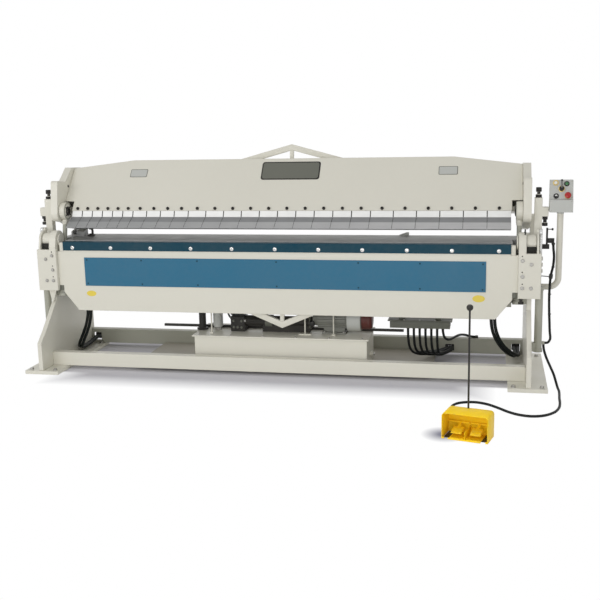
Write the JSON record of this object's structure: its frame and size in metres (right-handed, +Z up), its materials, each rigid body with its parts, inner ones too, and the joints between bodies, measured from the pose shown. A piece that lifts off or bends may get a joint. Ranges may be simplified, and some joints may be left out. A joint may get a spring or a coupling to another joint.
{
  "type": "hydraulic box and pan brake",
  "caption": "Floor-standing hydraulic sheet metal brake with a segmented finger clamp beam, a swinging bending apron, a power pack under the bed and a foot switch.",
  "frame": {"origin": "on the floor, under the middle of the bounding box", "axes": "+Z up, the operator stands on the -Y side, +X to the operator's right along the finger run"},
  "size_m": [3.6644, 1.8604, 1.5078],
  "materials": {
    "beige_paint": "semi-gloss machine enamel",
    "blue_paint": "semi-gloss machine enamel",
    "tan_paint": "matt enamel",
    "grey_paint": "semi-gloss enamel",
    "yellow_paint": "semi-gloss enamel",
    "black_oxide": "satin black",
    "ground_steel": "ground",
    "red_plastic": "glossy moulded",
    "green_plastic": "glossy moulded"
  },
  "bodies": {
    "frame": {"side_plate_left": "beige_paint", "side_plate_right": "beige_paint", "foot_plate_left": "beige_paint", "foot_plate_right": "beige_paint", "front_beam": "beige_paint", "rear_beam": "beige_paint", "tray_plate": "tan_paint", "bed_top_plate": "ground_steel", "bed_girder": "beige_paint", "trunnion_left": "beige_paint", "trunnion_right": "beige_paint", "guide_post_left": "beige_paint", "guide_post_right": "beige_paint", "pivot_post_left": "beige_paint", "pivot_post_right": "beige_paint", "clamp_cylinder_left": "black_oxide", "clamp_cylinder_right": "black_oxide", "apron_cylinder_left": "black_oxide", "apron_cylinder_right": "black_oxide", "oil_tank": "beige_paint", "motor": "grey_paint", "valve_block": "black_oxide", "oil_filter": "grey_paint", "junction_box": "grey_paint", "pendant_arm": "grey_paint", "pendant_box": "grey_paint", "pedal_guard": "yellow_paint", "tie_bar": "black_oxide", "control_loom": "black_oxide", "hydraulic_hoses_left": "black_oxide", "hydraulic_hoses_right": "black_oxide", "control_lead": "black_oxide", "pedal_lead": "black_oxide", "limit_switch": "black_oxide", "return_pipe": "black_oxide"},
    "apron": {"apron_plate": "beige_paint", "blade_bar": "blue_paint", "apron_cover": "blue_paint", "apron_truss": "beige_paint", "hinge_block_left": "beige_paint", "hinge_block_right": "beige_paint"},
    "clamp": {"clamp_beam": "beige_paint", "clamp_arm_left": "beige_paint", "clamp_arm_right": "beige_paint", "top_truss": "beige_paint", "fingers_narrow": "ground_steel", "fingers_small": "ground_steel", "fingers_medium": "ground_steel", "fingers_wide": "ground_steel"},
    "lift_rod_left": {"lift_rod_left": "ground_steel"},
    "lift_rod_right": {"lift_rod_right": "ground_steel"},
    "apron_rod_left": {"apron_rod_left": "ground_steel"},
    "apron_rod_right": {"apron_rod_right": "ground_steel"},
    "pedal_left": {"pedal_left": "grey_paint"},
    "pedal_right": {"pedal_right": "grey_paint"},
    "button_white": {"button_white": "grey_paint"},
    "button_green": {"button_green": "green_plastic"},
    "button_split": {"button_split": "black_oxide"},
    "stop_button": {"stop_button": "red_plastic"},
    "selector_lever": {"selector_lever": "black_oxide"}
  },
  "joints": [
    {"name": "apron_swing", "type": "hinge", "parent": "frame", "child": "apron", "pos_m": [-0.06925, 0.31022, 0.905], "axis": [-1, 0, 0], "range_deg": [0, 135]},
    {"name": "clamp_swing", "type": "hinge", "parent": "frame", "child": "clamp", "pos_m": [-0.06925, 0.87022, 0.98], "axis": [1, 0, 0], "range_deg": [0, 9.14]},
    {"name": "lift_slide_left", "type": "slide", "parent": "frame", "child": "lift_rod_left", "axis": [0, 0.1748, 0.9846], "range_m": [-0.072, 0]},
    {"name": "lift_slide_right", "type": "slide", "parent": "frame", "child": "lift_rod_right", "axis": [0, 0.1748, 0.9846], "range_m": [-0.072, 0]},
    {"name": "apron_slide_left", "type": "slide", "parent": "frame", "child": "apron_rod_left", "axis": [0, 0, 1], "range_m": [-0.13, 0]},
    {"name": "apron_slide_right", "type": "slide", "parent": "frame", "child": "apron_rod_right", "axis": [0, 0, 1], "range_m": [-0.13, 0]},
    {"name": "pedal_press_left", "type": "hinge", "parent": "frame", "child": "pedal_left", "pos_m": [1.11478, -0.75234, 0.064], "axis": [0.9703, -0.2419, 0], "range_deg": [0, 10], "stiffness_Nm_per_rad": 8, "springref_deg": -14.32},
    {"name": "pedal_press_right", "type": "hinge", "parent": "frame", "child": "pedal_right", "pos_m": [1.11478, -0.75234, 0.064], "axis": [0.9703, -0.2419, 0], "range_deg": [0, 10], "stiffness_Nm_per_rad": 8, "springref_deg": -14.32},
    {"name": "button_white_press", "type": "slide", "parent": "frame", "child": "button_white", "axis": [0, 0.9716, -0.2366], "range_m": [0, 0.003], "stiffness_N_per_m": 400, "springref_m": -0.003},
    {"name": "button_green_press", "type": "slide", "parent": "frame", "child": "button_green", "axis": [0, 0.9716, -0.2366], "range_m": [0, 0.003], "stiffness_N_per_m": 400, "springref_m": -0.003},
    {"name": "button_split_press", "type": "slide", "parent": "frame", "child": "button_split", "axis": [0, 0.9716, -0.2366], "range_m": [0, 0.003], "stiffness_N_per_m": 400, "springref_m": -0.003},
    {"name": "stop_press", "type": "slide", "parent": "frame", "child": "stop_button", "axis": [0, 0.9716, -0.2366], "range_m": [0, 0.004], "stiffness_N_per_m": 400, "springref_m": -0.003},
    {"name": "selector_turn", "type": "hinge", "parent": "frame", "child": "selector_lever", "pos_m": [1.76075, 0.40712, 1.23621], "axis": [0, -0.9716, 0.2366], "range_deg": [-30, 30]}
  ],
  "couplings": [
    {"joint": "lift_slide_left", "follows": "clamp_swing", "m_per_rad": -0.44859},
    {"joint": "lift_slide_right", "follows": "clamp_swing", "m_per_rad": -0.44859},
    {"joint": "apron_slide_left", "follows": "apron_swing", "m_per_rad": -0.054895},
    {"joint": "apron_slide_right", "follows": "apron_swing", "m_per_rad": -0.054895}
  ]
}
